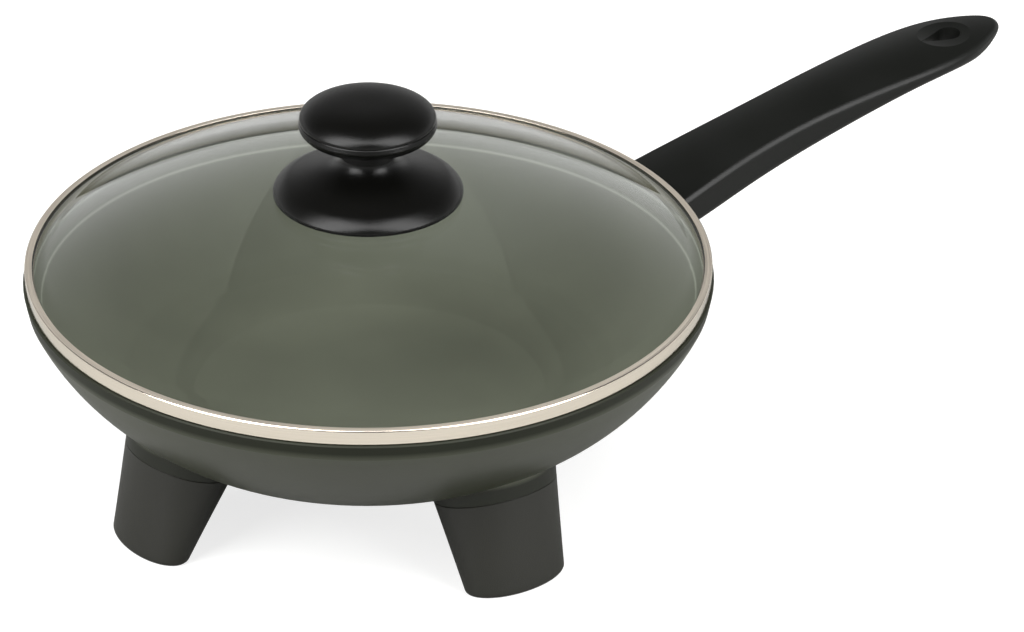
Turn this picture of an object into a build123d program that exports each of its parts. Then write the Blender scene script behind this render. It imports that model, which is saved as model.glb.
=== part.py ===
from build123d import *
from math import atan2, cos, degrees, radians, sin, sqrt, tan
import os

# Electric skillet with a lift-off glass lid, in millimetres. The origin is on the pan's axis at the table,
# +X runs along the handle and +Z is up.

# Clearances
seat_gap = 0.15  # between pieces that are pushed together and screwed
thread_gap = 0.05  # between a screw and the hole it is driven into
hole_gap = 0.4  # between a screw and the hole it passes through
lid_gap = 0.3  # between the lid and the pan's rim
cut_over = 1.0  # how far a cut runs on past the face it leaves

# Pan casting
rim_radius = 140.7
ground_clearance = 32.9  # table to the underside of the base
pan_depth = 59.5  # underside of the base to the top of the rim
rim_band_height = 6.9
rim_band_lean = 1.3
rim_edge = 0.5
side_run = 68.7  # rim to the edge of the flat base
knee_run = 23.8  # the round corner of the base, along and up
knee_rise = 6.1
wall = 4.5
rim_land = 3.4
ledge_depth = 3.8

# Screws and washers, as multiples of the shank's radius, and the washers' thickness
head_radius_share = 1.9
head_height_share = 1.2
head_bevel_share = 0.4
slot_width_share = 0.45
slot_depth_share = 0.45
washer_thickness = 1.0

# Heating element, a tube bent to a C and pressed into a ridge under the base
element_inset = 14.0  # edge of the flat base to the tube's centre
tube_radius = 4.0
element_drop = 3.5  # underside of the base to the tube's centre
element_bend = 10.0
ridge_width = 16.0
ridge_height = 6.0

# Socket for the thermostat probe
socket_angle = 45.0
pin_spacing = 27.0
pin_radius = 2.5
pin_stem_radius = 2.1  # inside its insulator
pin_nose_round = 1.5
pin_length = 24.0
insulator_length = 6.0
socket_inset = 39.7  # rim to the cast face
socket_boss_depth = 17.0
socket_boss_height = 20.0
socket_boss_bevel = 3.0
probe_radius = 3.3
probe_depth = 58.0
probe_rib_width = 15.0
shroud_width = 52.0
shroud_height = 23.0
shroud_length = 25.0
shroud_wall = 1.8
shroud_corner = 5.0
shroud_plate = 2.0
ear_room = 5.0  # side of the guard to the middle of the screw beside it
ear_margin = 5.5
plate_height = 18.0
shroud_screw_radius = 1.75
shroud_screw_depth = 9.0

# Legs
leg_count = 4
leg_inset = 48.9  # rim to the middle of a leg's seam
leg_seam_rise = 3.8  # underside of the base to the middle of the seam
leg_seam_tilt = 14.0
leg_splay = 14.8
seam_half_width = 26.9
seam_half_depth = 20.3
sole_half_width = 22.8
sole_half_depth = 11.6
sole_round = 2.0
seam_chamfer = 0.5
leg_boss_rise = 16.0
leg_screw_offset = 10.5  # outwards from the middle of the seam
leg_web = 9.0  # solid top of the leg above its screw
leg_well_radius = 5.6
leg_screw_radius = 2.0
leg_screw_depth = 5.5
leg_washer_radius = 5.0

# Handle
handle_reach = 180.4  # rim to tip
handle_root_half = 22.0
handle_waist_half = 17.3
handle_palm_half = 19.4
handle_crown_radius = 70.0
handle_peak = 27.0  # top of the rim to the highest point
handle_thickness = 21.4
handle_top_round = 2.6
handle_under_round = 3.5
tip_sweep_back = 66.0  # tip to where its underside starts to sweep up
tip_sweep_drop = 19.0  # highest point of the handle to that place
tip_sweep_length = 80.0  # half axes of the ellipsoid that the underside follows
tip_sweep_width = 35.5
tip_sweep_height = 40.0
handle_lug_length = 30.0
handle_lug_width = 18.0
handle_lug_height = 5.0
handle_lug_corner = 4.5
handle_lug_drop = 3.0  # top of the rim to the top of the lug
handle_screw_radius = 2.5
handle_screw_pitch = 11.0
handle_screw_start = 8.0  # rim to the first screw
handle_well_radius = 5.2
handle_seat = 2.4  # handle wall between the lug and the washers
hang_hole_back = 25.4  # tip to the middle of the hole's round end
hang_hole_radius = 5.2
hang_hole_length = 20.0
dish_depth = 1.4
dish_length_curve = 39.0  # half axes of the ellipsoid that the dish is cut with
dish_width_curve = 62.0
dish_height_curve = 20.0

# Lid
lid_inset = 0.7  # edge of the rim to the edge of the lid
band_height = 6.3
band_lean = 0.6
band_flange = 3.1
sheet = 0.6
band_corner = 0.7
lip_depth = 3.2
lip_gap = 0.4
glass_thickness = 4.0
glass_edge_gap = 0.25
dome_height = 33.0
glass_hole_radius = 5.0

# Knob, from the glass upwards
seal_thickness = 1.2
seal_radius = 12.0
skirt_radius = 38.6
skirt_lift = 1.1  # glass to the edge of the skirt
skirt_edge = 5.0
skirt_round = 3.6
skirt_wall = 2.6
neck_radius = 10.8
flare_radius = 7.0
skirt_rise = 5.6  # from the top of its edge to the foot of its neck
neck_top = 15.8  # top of the glass to the top of the neck
collar_radius = 11.3
collar_height = 7.1
shell_radius = 28.1
shell_depth = 7.0
shell_band = 1.7
parting_groove = 0.3  # bevel on both sides of the line where cap and lower shell meet
cap_radius = 27.7
cap_edge = 0.7
cap_height = 7.4
cap_wall = 2.4
cap_brow_share = 0.92  # place of the brow, where the crown turns down, as shares of radius and height
cap_brow_rise_share = 0.45
roof_fall = 1.4  # the hollow's roof, from its middle to the ring
spigot_radius = 19.0
spigot_wall = 2.0
spigot_depth = 3.0
shell_wall = 2.4
insert_radius = 5.0
insert_length = 11.0
knob_screw_radius = 2.5
knob_washer_thickness = 1.2
knob_washer_radius = 10.0

# Worked out from the sizes above
rim_top = ground_clearance + pan_depth
base_radius = rim_radius - side_run
element_radius = base_radius - element_inset
socket_face = rim_radius - socket_inset
ear_span = shroud_width + 2 * ear_room
leg_seam_radius = rim_radius - leg_inset
lid_radius = rim_radius - lid_inset
element_height = ground_clearance - element_drop
seam_height = ground_clearance + leg_seam_rise
lid_base = rim_top + lid_gap
band_top = lid_base + band_height
glass_rim_top = band_top - sheet
glass_radius = lid_radius - band_lean - sheet - glass_edge_gap
dome_radius = lid_radius - band_flange - sheet - glass_edge_gap
glass_top = glass_rim_top + dome_height
dome_curve = (dome_radius**2 + dome_height**2) / (2 * dome_height)
neck_height = glass_top + neck_top
parting_height = neck_height + collar_height + shell_depth + shell_band

parts = {}


def turned(outline):
    """A solid of revolution about the pan's axis from an outline drawn as (radius, height)."""
    return revolve(Plane.XZ * make_face(outline), Axis.Z)


def ring(inner, outer, low, high):
    """A plain washer on the pan's axis."""
    tube = Cylinder(outer, high - low) - Cylinder(inner, high - low)
    return Pos(0, 0, (low + high) / 2) * tube


def at_socket(shape):
    """Turns what is drawn along +X to the side where the probe goes in."""
    return Rot(0, 0, socket_angle) * shape


def along_x(shape, start, across, height):
    """Lays what is drawn up from its base along +X, starting at a distance from the axis."""
    return Plane(origin=(start, across, height), z_dir=(1, 0, 0)) * shape


def standing(radius, length):
    """A cylinder that stands on its own origin."""
    return extrude(Circle(radius), length)


def screw(shank_radius, shank_length):
    """A pan-head screw, its shank upwards from the underside of the head."""
    foot = -shank_radius * head_height_share
    head = extrude(Circle(shank_radius * head_radius_share), foot)
    head = chamfer(head.faces().sort_by(Axis.Z)[0].edges(), shank_radius * head_bevel_share)
    slot_width, slot_depth = shank_radius * slot_width_share, shank_radius * slot_depth_share
    slot = Box(shank_radius * head_radius_share * 2, slot_width, slot_depth * 2)
    return head + standing(shank_radius, shank_length) - Pos(0, 0, foot) * slot


# ---------------------------------------------------------------- pan


def bowl_line(inset):
    """The two tangent arcs of the bowl, moved inwards by inset: round corner of the base, then the side."""
    corner = Vector(base_radius, ground_clearance)
    knee = corner + Vector(knee_run, knee_rise)
    shoulder = Vector(rim_radius - rim_band_lean, rim_top - rim_band_height)
    round_corner = TangentArc(corner, knee, tangent=(1, 0))
    side = TangentArc(knee, shoulder, tangent=round_corner % 1)
    ways = [Vector(1, 0), round_corner % 1, side % 1]
    moved = [p + Vector(-w.Y, w.X) * inset for p, w in zip((corner, knee, shoulder), ways)]
    first = TangentArc(moved[0], moved[1], tangent=(1, 0))
    return first, TangentArc(moved[1], moved[2], tangent=round_corner % 1), side % 1


def bowl_solid(inset, rim, top):
    """The bowl as if it were full, up to the given height."""
    first, second, way = bowl_line(inset)
    start = first @ 0
    rest = Polyline(second @ 1, rim, (rim[0], top), (0, top), (0, start.Y), start)
    return turned(first + second + rest)


def pan_outside():
    first, second, way = bowl_line(0)
    start = first @ 0
    edge = (rim_radius, rim_top - rim_edge)
    land = (rim_radius - rim_edge, rim_top)
    return turned(first + second + Polyline(second @ 1, edge, land, (0, rim_top), (0, start.Y), start))


def pan_inside():
    """The cooking space: the bowl less its wall, with a ledge for the lip of the lid."""
    first, second, way = bowl_line(wall)
    start, end = first @ 0, second @ 1
    ledge = rim_top - ledge_depth
    ledge_inner = end.X + (ledge - end.Y) * way.X / way.Y
    land_inner = rim_radius - rim_land
    top = rim_top + wall
    lip_seat = [(ledge_inner, ledge), (land_inner, ledge), (land_inner, top)]
    rest = Polyline(end, *lip_seat, (0, top), (0, start.Y), start)
    return turned(first + second + rest)


def element_path(end):
    """The C of the element seen from above, drawn with its open side along +X."""
    half = pin_spacing / 2
    far = sqrt((element_radius + element_bend) ** 2 - (half + element_bend) ** 2)
    turn = degrees(atan2(half + element_bend, far))
    lead = Line((end, half), (far, half))
    bend = CenterArc((far, half + element_bend), element_bend, 270, turn - 90)
    loop = CenterArc((0, 0), element_radius, turn, 360 - 2 * turn)
    other_bend = CenterArc((far, -half - element_bend), element_bend, 180 - turn, turn - 90)
    other_lead = Line((far, -half), (end, -half))
    return Wire([lead, bend, loop, other_bend, other_lead])


def element_sweep(section, end, height):
    path = Pos(0, 0, height) * element_path(end)
    start = Plane(origin=path @ 0, x_dir=(0, 1, 0), z_dir=path % 0)
    return at_socket(sweep(start * section, path=path))


def sole_plane():
    return Plane(origin=(leg_seam_radius + leg_splay, 0, 0))


def seam_plane(rise=0.0):
    """The tilted plane between leg and pan, or one above it along the leg's centre line."""
    out = leg_seam_radius - rise * leg_splay / seam_height
    lean = radians(leg_seam_tilt)
    place = (out, 0, seam_height + rise)
    return Plane(origin=place, x_dir=(cos(lean), 0, sin(lean)), z_dir=(-sin(lean), 0, cos(lean)))


def leg_boss():
    """The cast foot that continues the leg's taper up into the bowl."""
    share = leg_boss_rise / seam_height
    depth = seam_half_depth + share * (seam_half_depth - sole_half_depth)
    width = seam_half_width + share * (seam_half_width - sole_half_width)
    low = seam_plane() * Ellipse(seam_half_depth, seam_half_width)
    high = seam_plane(leg_boss_rise) * Ellipse(depth, width)
    return loft([low, high], ruled=True)


def leg_screw_place():
    """Foot of the screw's hole in the casting, on the seam."""
    out = leg_seam_radius + leg_screw_offset
    return Pos(out, 0, seam_height + leg_screw_offset * tan(radians(leg_seam_tilt)))


def around(shape):
    """Copies of one leg's piece at every leg."""
    return [Rot(0, 0, 360 * i / leg_count) * shape for i in range(leg_count)]


def socket_boss():
    """Cast block that closes the element's ends and carries the shroud, with a rib round the probe's hole."""
    width = ear_span + 2 * ear_margin
    low = element_height - plate_height / 2
    middle = low + socket_boss_height / 2
    block = Box(socket_boss_depth, width, socket_boss_height)
    block = Pos(socket_face - socket_boss_depth / 2, 0, middle) * block
    block = chamfer(block.edges().filter_by(Axis.X).group_by(Axis.Z)[0], socket_boss_bevel)
    block = block - Pos(socket_face - socket_boss_depth, 0, low) * wedge_cut(width)
    length = probe_depth + wall
    rib = Box(length, probe_rib_width, 2 * probe_radius + 2 * wall)
    rib = Pos(socket_face - length / 2, 0, element_height) * rib
    rib = fillet(rib.edges().filter_by(Axis.X).group_by(Axis.Z)[0], wall / 2)
    cheek = Box(socket_boss_depth * 2, pin_spacing + ridge_width, ridge_height)
    cheeks = Pos(socket_face - socket_boss_depth * 1.5, 0, ground_clearance - ridge_height / 2) * cheek
    return at_socket(block + rib + cheeks)


def wedge_cut(width):
    """Slopes the back of the block, as a casting's draft does."""
    side = socket_boss_depth / 2
    profile = make_face(Polyline((0, 0), (side, 0), (0, side), (0, 0)))
    return Pos(0, width / 2, 0) * (Plane.XZ * extrude(profile, width))


def handle_lug():
    top = rim_top - handle_lug_drop
    start = rim_radius - wall
    length = handle_lug_length + wall
    lug = Box(length, handle_lug_width, handle_lug_height)
    lug = Pos(start + length / 2, 0, top - handle_lug_height / 2) * lug
    return fillet(lug.edges().filter_by(Axis.Z).group_by(Axis.X)[-1], handle_lug_corner)


def handle_screw_places():
    return [rim_radius + handle_screw_start + i * handle_screw_pitch for i in range(2)]


def pan_body():
    ridge = element_sweep(Rectangle(ridge_width, ridge_height), socket_face - socket_boss_depth,
                          ground_clearance - ridge_height / 2)
    pan = pan_outside() + ridge + socket_boss() + handle_lug()
    for boss in around(leg_boss()):
        pan = pan + boss
    pan = pan - pan_inside()
    pan = pan - element_sweep(Circle(tube_radius + thread_gap), socket_face + cut_over, element_height)
    probe = standing(probe_radius, probe_depth + cut_over)
    pan = pan - at_socket(along_x(probe, socket_face - probe_depth, 0, element_height))
    for side in (-1, 1):
        hole = standing(shroud_screw_radius + thread_gap, shroud_screw_depth + thread_gap + cut_over)
        start = socket_face - shroud_screw_depth - thread_gap
        hole = along_x(hole, start, side * ear_span / 2, element_height)
        pan = pan - at_socket(hole)
    well = Pos(0, 0, -wall) * standing(leg_screw_radius + thread_gap, leg_screw_depth + wall + thread_gap)
    for hole in around(leg_screw_place() * well):
        pan = pan - hole
    for x in handle_screw_places():
        pan = pan - Pos(x, 0, 0) * standing(handle_screw_radius + thread_gap, rim_top + wall)
    return pan


# ---------------------------------------------------------------- element and socket


def heating_element():
    return element_sweep(Circle(tube_radius), socket_face - insulator_length / 2, element_height)


def terminal_insulator(side):
    bead = standing(tube_radius, insulator_length) - standing(pin_stem_radius + thread_gap, insulator_length)
    start = socket_face - insulator_length / 2
    return at_socket(along_x(bead, start, side * pin_spacing / 2, element_height))


def terminal_pin(side):
    pin = standing(pin_radius, pin_length)
    pin = fillet(pin.faces().sort_by(Axis.Z)[-1].edges(), pin_nose_round)
    pin = pin - (standing(pin_radius, insulator_length) - standing(pin_stem_radius, insulator_length))
    start = socket_face - insulator_length / 2
    return at_socket(along_x(pin, start, side * pin_spacing / 2, element_height))


def socket_shroud():
    """The guard round the two pins: an open box on a plate with two ears."""
    plate = extrude(RectangleRounded(ear_span + 2 * ear_margin, plate_height, ear_margin), shroud_plate)
    outside = extrude(RectangleRounded(shroud_width, shroud_height, shroud_corner), shroud_length)
    room_width, room_height = shroud_width - 2 * shroud_wall, shroud_height - 2 * shroud_wall
    room = RectangleRounded(room_width, room_height, shroud_corner - shroud_wall)
    inside = Pos(0, 0, shroud_plate) * extrude(room, shroud_length)
    guard = plate + outside - inside
    for across in (-pin_spacing / 2, 0, pin_spacing / 2):
        guard = guard - Pos(across, 0, 0) * standing(tube_radius + hole_gap / 2, shroud_plate)
    for side in (-1, 1):
        hole = Pos(side * ear_span / 2, 0, 0) * standing(shroud_screw_radius + hole_gap, shroud_plate)
        guard = guard - hole
    spot = Plane(origin=(socket_face, 0, element_height), x_dir=(0, 1, 0), z_dir=(1, 0, 0))
    return at_socket(spot * guard)


def shroud_screws():
    both = []
    for side in (-1, 1):
        part = Rot(180, 0, 0) * screw(shroud_screw_radius, shroud_screw_depth + shroud_plate)
        both.append(at_socket(along_x(part, socket_face + shroud_plate, side * ear_span / 2, element_height)))
    return Compound(both)


# ---------------------------------------------------------------- legs


def leg():
    """A tapered oval foot that leans outwards, hollowed from below for its screw."""
    sole = sole_plane() * Ellipse(sole_half_depth, sole_half_width)
    seam = seam_plane() * Ellipse(seam_half_depth, seam_half_width)
    body = loft([sole, seam], ruled=True)
    body = fillet(body.faces().sort_by(Axis.Z)[0].edges(), sole_round)
    body = chamfer(body.faces().sort_by(Axis.Z)[-1].edges(), seam_chamfer)
    body = body - bowl_solid(-seat_gap, (rim_radius, rim_top), rim_top + wall)
    place = leg_screw_place()
    well = Pos(0, 0, -leg_web) * extrude(Circle(leg_well_radius), -seam_height)
    shank = Pos(0, 0, -leg_web) * standing(leg_screw_radius + hole_gap, leg_web * 2)
    return body - place * (well + shank)


def leg_washer():
    disc = standing(leg_washer_radius, washer_thickness)
    disc = disc - standing(leg_screw_radius + hole_gap / 2, washer_thickness)
    return leg_screw_place() * Pos(0, 0, -leg_web - washer_thickness) * disc


def leg_screw():
    under = leg_web + washer_thickness
    return leg_screw_place() * Pos(0, 0, -under) * screw(leg_screw_radius, leg_screw_depth + under)


# ---------------------------------------------------------------- handle


def handle_stations():
    """From rim to tip, all as shares: place along the reach, rise of the top, thickness, half width against
    the root's, then the radii of the top against the crown's and of the underside against the root's half."""
    return [
        (-0.02, -0.04, 0.90, 1.10, 2.4, 1.80),
        (0.13, 0.246, 1.0, 1.10, 1.5, 1.55),
        (0.35, 0.58, 0.89, 1.05, 1.1, 1.45),
        (0.56, 0.815, 0.74, 1.05, 1.0, 1.60),
        (0.75, 0.955, 0.58, 1.05, 1.0, 1.90),
        (0.90, 1.0, 0.47, 0.95, 1.0, 2.40),
        (1.02, 0.965, 0.26, 0.65, 1.0, 4.00),
    ]


def handle_section(share, rise, thickness, width, flatter, rounder):
    """One cross-section: a crowned top and a rounder underside, wider than the handle."""
    top = rim_top + rise * handle_peak
    low = top - thickness * handle_thickness
    half = handle_root_half * width
    crown_radius = handle_crown_radius * flatter
    under = handle_root_half * rounder
    top_drop = crown_radius - sqrt(crown_radius**2 - half**2)
    low_lift = under - sqrt(under**2 - half**2)
    crown = ThreePointArc((-half, top - top_drop), (0, top), (half, top - top_drop))
    belly = ThreePointArc((half, low + low_lift), (0, low), (-half, low + low_lift))
    face = make_face([crown, Line(crown @ 1, belly @ 0), belly, Line(belly @ 1, crown @ 0)])
    origin = (rim_radius + share * handle_reach, 0, 0)
    return Plane(origin=origin, x_dir=(0, 1, 0), z_dir=(1, 0, 0)) * face


def handle_plan():
    """The handle from above: wide at the rim, a waist, a wider palm and a round tip."""
    start = rim_radius - rim_band_lean - wall
    tip = rim_radius + handle_reach
    shares = [
        (0.13, handle_waist_half * 0.55 + handle_root_half * 0.45),
        (0.33, handle_waist_half),
        (0.68, handle_palm_half),
        (0.85, handle_palm_half * 0.91),
        (0.95, handle_palm_half * 0.53),
    ]
    points = [(start, handle_root_half)]
    points += [(rim_radius + share * handle_reach, width) for share, width in shares]
    side = Spline(*points, (tip, 0), tangents=[(1, -0.06), (0, -1)])
    half = make_face([side, Line((tip, 0), (start, 0)), Line((start, 0), (start, handle_root_half))])
    return half + mirror(half, Plane.XZ)


def hang_hole(grow, low, high):
    """A teardrop with its point towards the pan."""
    centre = rim_radius + handle_reach - hang_hole_back
    radius = hang_hole_radius + grow
    length = hang_hole_length - hang_hole_radius + grow
    reach = radius * radius / length
    side = sqrt(radius * radius - reach * reach)
    round_end = ThreePointArc((-reach, side), (radius, 0), (-reach, -side))
    drop = make_face([round_end, Line((-reach, -side), (-length, 0)), Line((-length, 0), (-reach, side))])
    return Pos(centre, 0, low) * extrude(drop, high - low)


def dish():
    """Shallow hollow in the top of the handle round the hole."""
    middle = rim_radius + handle_reach - hang_hole_back - hang_hole_length / 4
    ball = scale(Sphere(1), by=(dish_length_curve, dish_width_curve, dish_height_curve))
    return Pos(middle, 0, rim_top + handle_peak + dish_height_curve - dish_depth) * ball


def tip_cut():
    """What lies outside the rounded underside of the tip, which sweeps up to a thin edge."""
    start = rim_radius + handle_reach - tip_sweep_back
    middle = rim_top + handle_peak - tip_sweep_drop + tip_sweep_height
    ball = scale(Sphere(1), by=(tip_sweep_length, tip_sweep_width, tip_sweep_height))
    block = Box(tip_sweep_length, handle_root_half * 3, tip_sweep_height * 2)
    block = Pos(tip_sweep_length / 2, 0, -tip_sweep_height) * block
    return Pos(start, 0, middle) * (block - ball)


def handle():
    body = loft([handle_section(*station) for station in handle_stations()])
    body = body & extrude(handle_plan(), rim_top * 2)
    outline_edges = body.edges().sort_by(SortBy.LENGTH)[-2:].sort_by(Axis.Z)
    body = fillet(outline_edges[0], handle_under_round)
    top_edge = body.edges().sort_by(SortBy.LENGTH)[-3:].sort_by(Axis.Z)[-1]
    body = fillet(top_edge, handle_top_round) - dish() - tip_cut()
    body = body - bowl_solid(-seat_gap, (rim_radius + seat_gap, rim_top - rim_edge), rim_top * 2)
    body = body - hang_hole(0, 0, rim_top * 2)
    length = handle_lug_length + seat_gap + wall
    middle = rim_top - handle_lug_drop - handle_lug_height / 2
    pocket = Box(length, handle_lug_width + 2 * seat_gap, handle_lug_height + 2 * seat_gap)
    body = body - Pos(rim_radius - wall + length / 2, 0, middle) * pocket
    for x in handle_screw_places():
        body = body - Pos(x, 0, 0) * standing(handle_well_radius, handle_screw_seat())
        body = body - Pos(x, 0, 0) * standing(handle_screw_radius + hole_gap, middle)
    return body


def handle_screw_seat():
    """Height of the face inside the handle that the washers press on."""
    return rim_top - handle_lug_drop - handle_lug_height - seat_gap - handle_seat


def handle_screws():
    length = washer_thickness + handle_seat + seat_gap + handle_lug_height
    foot = handle_screw_seat() - washer_thickness
    return Compound([Pos(x, 0, foot) * screw(handle_screw_radius, length) for x in handle_screw_places()])


def handle_washers():
    disc = standing(handle_well_radius - hole_gap, washer_thickness)
    disc = disc - standing(handle_screw_radius + hole_gap / 2, washer_thickness)
    foot = handle_screw_seat() - washer_thickness
    return Compound([Pos(x, 0, foot) * disc for x in handle_screw_places()])


# ---------------------------------------------------------------- lid


def dome(radius, lower):
    """Height of the glass at a distance from the axis, on its top or a parallel surface below."""
    curve = dome_curve - lower
    return glass_top - dome_curve + sqrt(curve**2 - radius**2)


def lid_glass():
    low = glass_rim_top - glass_thickness
    curve = dome_curve - glass_thickness
    foot = sqrt(curve**2 - (low - glass_top + dome_curve) ** 2)
    middle = dome_radius / 2
    hole_top = (glass_hole_radius, dome(glass_hole_radius, 0))
    hole_foot = (glass_hole_radius, dome(glass_hole_radius, glass_thickness))
    top = ThreePointArc(hole_top, (middle, dome(middle, 0)), (dome_radius, glass_rim_top))
    under = ThreePointArc((foot, low), (middle, dome(middle, glass_thickness)), hole_foot)
    edge = Polyline(top @ 1, (glass_radius, glass_rim_top), (glass_radius, low), under @ 0)
    return turned(top + edge + under + Line(under @ 1, top @ 0))


def lid_rim_band():
    """Rolled sheet: flange over the glass, outer side, flange under it and the lip that drops in the pan."""
    inner = lid_radius - band_flange
    foot = lid_radius - band_lean
    lip = rim_radius - rim_land - lip_gap
    corner = band_top - band_corner
    side = lid_radius - sheet - band_lean * band_corner / band_height
    outline = Polyline(
        (inner, band_top), (lid_radius - band_corner, band_top), (lid_radius, corner), (foot, lid_base),
        (lip, lid_base), (lip, lid_base - lip_depth), (lip - sheet, lid_base - lip_depth),
        (lip - sheet, lid_base + sheet), (foot - sheet, lid_base + sheet), (side, glass_rim_top),
        (inner, glass_rim_top), (inner, band_top),
    )
    return turned(outline)


def lid_gasket():
    low = lid_base + sheet
    return ring(rim_radius - rim_land - lip_gap - sheet, glass_radius, low, glass_rim_top - glass_thickness)


def knob_seal_top():
    return ring(glass_hole_radius, seal_radius, glass_top, glass_top + seal_thickness)


def knob_seal_bottom():
    top = dome(seal_radius, glass_thickness)
    return ring(glass_hole_radius, seal_radius, top - seal_thickness, top)


def knob_washer():
    top = dome(seal_radius, glass_thickness) - seal_thickness
    return ring(knob_screw_radius + hole_gap / 2, knob_washer_radius, top - knob_washer_thickness, top)


def knob_screw():
    seat = dome(seal_radius, glass_thickness) - seal_thickness - knob_washer_thickness
    return Pos(0, 0, seat) * screw(knob_screw_radius, neck_height + insert_length - seat)


def knob_skirt():
    """The wide foot of the knob: hollow underneath, with a flared neck that the knob stands on."""
    bore = knob_screw_radius + hole_gap
    foot = dome(skirt_radius, 0) + skirt_lift
    edge_top = foot + skirt_edge
    neck_foot = edge_top + skirt_rise
    seat = glass_top + seal_thickness
    flare_end = neck_radius + flare_radius
    flare = Spline((neck_radius, neck_height), (flare_end, neck_foot), tangents=[(0, -1), (1, -0.25)])
    slope = Line(flare @ 1, (skirt_radius - skirt_round, edge_top))
    shoulder = Spline(slope @ 1, (skirt_radius, edge_top - skirt_round), tangents=[slope % 1, (0, -1)])
    rest = Polyline(
        shoulder @ 1, (skirt_radius, foot), (skirt_radius - skirt_wall, foot),
        (skirt_radius - skirt_wall, edge_top - skirt_wall), (flare_end, neck_foot - skirt_wall),
        (seal_radius, neck_foot - skirt_wall), (seal_radius, seat), (bore, seat), (bore, neck_height),
        flare @ 0,
    )
    return turned(flare + slope + shoulder + rest)


def knob_stem():
    """The hand grip's lower shell: a collar on the neck that opens into a shallow bowl."""
    collar_top = neck_height + collar_height
    widest = collar_top + shell_depth
    reach = shell_radius - collar_radius
    underside = EllipticalCenterArc((collar_radius, widest), reach, shell_depth, 270, arc_size=90)
    floor = collar_top + shell_wall
    hub_top = neck_height + insert_length
    socket = spigot_radius + seat_gap
    hub = insert_radius + shell_wall
    rest = Polyline(
        underside @ 1, (cap_radius, parting_height - parting_groove),
        (cap_radius - parting_groove, parting_height), (socket, parting_height),
        (socket, floor + spigot_depth), (hub, floor), (hub, hub_top),
        (insert_radius + thread_gap, hub_top), (insert_radius + thread_gap, neck_height),
        (collar_radius, neck_height), underside @ 0,
    )
    return turned(underside + rest)


def knob_insert():
    bore = knob_screw_radius + thread_gap
    return ring(bore, insert_radius, neck_height, neck_height + insert_length)


def knob_cap():
    """The domed top, hollow, with a ring that pushes into the lower shell."""
    low = parting_height
    top = low + cap_height
    corner = (cap_radius, low + cap_edge)
    brow = (cap_radius * cap_brow_share, low + cap_edge + (cap_height - cap_edge) * cap_brow_rise_share)
    crown = Spline((0, top), brow, corner, tangents=[(1, 0), (0, -1)])
    roof = low + cap_height - cap_wall
    ring_inner = spigot_radius - spigot_wall
    rest = Polyline(
        corner, (cap_radius, low + parting_groove), (cap_radius - parting_groove, low), (spigot_radius, low),
        (spigot_radius, low - spigot_depth), (ring_inner, low - spigot_depth), (ring_inner, roof - roof_fall),
        (0, roof), (0, top),
    )
    return turned(crown + rest)


parts["pan_body"] = pan_body()
parts["heating_element"] = heating_element()
for name, side in (("left", -1), ("right", 1)):
    parts["terminal_insulator_" + name] = terminal_insulator(side)
    parts["terminal_pin_" + name] = terminal_pin(side)
parts["socket_shroud"] = socket_shroud()
parts["shroud_screws"] = shroud_screws()
for number, piece in enumerate(around(leg()), 1):
    parts["leg_" + str(number)] = piece
parts["leg_washers"] = Compound(around(leg_washer()))
parts["leg_screws"] = Compound(around(leg_screw()))
parts["handle"] = handle()
parts["handle_screws"] = handle_screws()
parts["handle_washers"] = handle_washers()
parts["lid_glass"] = lid_glass()
parts["lid_rim_band"] = lid_rim_band()
parts["lid_gasket"] = lid_gasket()
parts["knob_seal_top"] = knob_seal_top()
parts["knob_seal_bottom"] = knob_seal_bottom()
parts["knob_washer"] = knob_washer()
parts["knob_screw"] = knob_screw()
parts["knob_skirt"] = knob_skirt()
parts["knob_stem"] = knob_stem()
parts["knob_insert"] = knob_insert()
parts["knob_cap"] = knob_cap()

os.makedirs("parts", exist_ok=True)
for name, piece in parts.items():
    export_step(piece, "parts/" + name + ".step")
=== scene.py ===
"""Looks of an electric skillet: its coatings, mouldings, steel and glass, and the studio it stands in."""

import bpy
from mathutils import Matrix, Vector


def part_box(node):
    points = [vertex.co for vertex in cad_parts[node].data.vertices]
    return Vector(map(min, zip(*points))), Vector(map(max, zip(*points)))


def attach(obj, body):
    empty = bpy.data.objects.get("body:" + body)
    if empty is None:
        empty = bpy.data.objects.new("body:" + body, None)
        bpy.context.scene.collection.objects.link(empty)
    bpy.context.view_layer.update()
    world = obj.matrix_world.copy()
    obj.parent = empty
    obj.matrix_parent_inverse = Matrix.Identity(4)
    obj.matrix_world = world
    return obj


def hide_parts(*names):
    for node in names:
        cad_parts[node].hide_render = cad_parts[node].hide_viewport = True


bl_info = {
    "name": "Electric Skillet",
    "version": (1, 0, 0),
    "blender": (4, 5, 0),
    "location": "View3D > Sidebar > Skillet",
    "description": "Gives an electric skillet its materials, glass, band and knob, and a studio to stand in",
    "category": "Object",
}

import math

import bpy
from bpy.props import FloatProperty, FloatVectorProperty, IntProperty, PointerProperty
from mathutils import Matrix, Vector
from mathutils.geometry import interpolate_bezier

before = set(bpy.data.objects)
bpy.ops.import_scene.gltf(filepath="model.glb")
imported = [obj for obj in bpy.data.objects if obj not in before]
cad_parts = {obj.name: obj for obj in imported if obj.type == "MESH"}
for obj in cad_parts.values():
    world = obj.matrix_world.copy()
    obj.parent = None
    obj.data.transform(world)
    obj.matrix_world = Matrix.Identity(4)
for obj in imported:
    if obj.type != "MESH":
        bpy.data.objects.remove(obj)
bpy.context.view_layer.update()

MM = 0.001
MERGE = 0.001 * MM  # vertices this close become one
POLE = 0.0004 * MM  # radius of a ring that MERGE closes to a point
SMOOTH_ANGLE = 30  # degrees between faces that still look like one surface
MIX_FIRST, MIX_SECOND = 6, 7  # the inputs of a mix node that take its two colours
SENSOR_WIDTH = 36  # millimetres
CLIP_END = 100  # metres


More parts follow.
